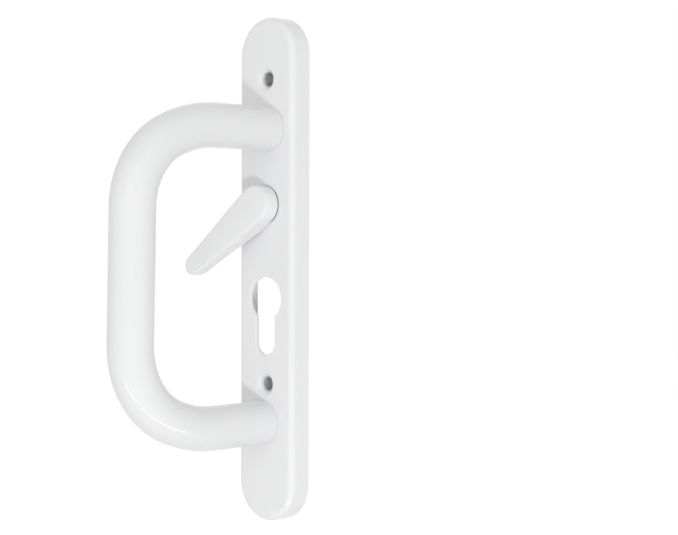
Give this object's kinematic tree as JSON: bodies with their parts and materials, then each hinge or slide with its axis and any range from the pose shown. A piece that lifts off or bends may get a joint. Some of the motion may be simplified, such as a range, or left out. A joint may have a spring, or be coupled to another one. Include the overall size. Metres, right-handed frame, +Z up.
{
  "type": "sliding patio door handle",
  "caption": "White sliding patio door handle: round-ended hollow backplate with a D-shaped pull grip, a tapered thumb lever and a lock cylinder opening.",
  "frame": {"origin": "on the back plane of the plate, midway between the two fixing holes", "axes": "+Z up along the plate, +Y into the door, the grip stands out towards -Y, +X to the right seen from the front"},
  "size_m": [0.0508, 0.0909, 0.212],
  "materials": {
    "backplate": "glossy powder coat",
    "pull_grip": "glossy powder coat",
    "lever": "glossy powder coat",
    "bush": "moulded nylon",
    "washers": "zinc plated",
    "screws": "zinc plated",
    "spring_steel": "dark spring steel"
  },
  "bodies": {
    "plate": {"backplate": "backplate", "pull_grip": "pull_grip", "upper_grip_screw": "screws", "lower_grip_screw": "screws", "upper_grip_washer": "washers", "lower_grip_washer": "washers", "lever_bush": "bush"},
    "lever": {"lever": "lever", "stop_washer": "washers", "spring_washer": "spring_steel", "retaining_ring": "spring_steel"}
  },
  "joints": [
    {"name": "lever_turn", "type": "hinge", "parent": "plate", "child": "lever", "pos_m": [0, -0.0055, 0.0115], "axis": [0, 1, 0], "range_deg": [0, 80]}
  ]
}
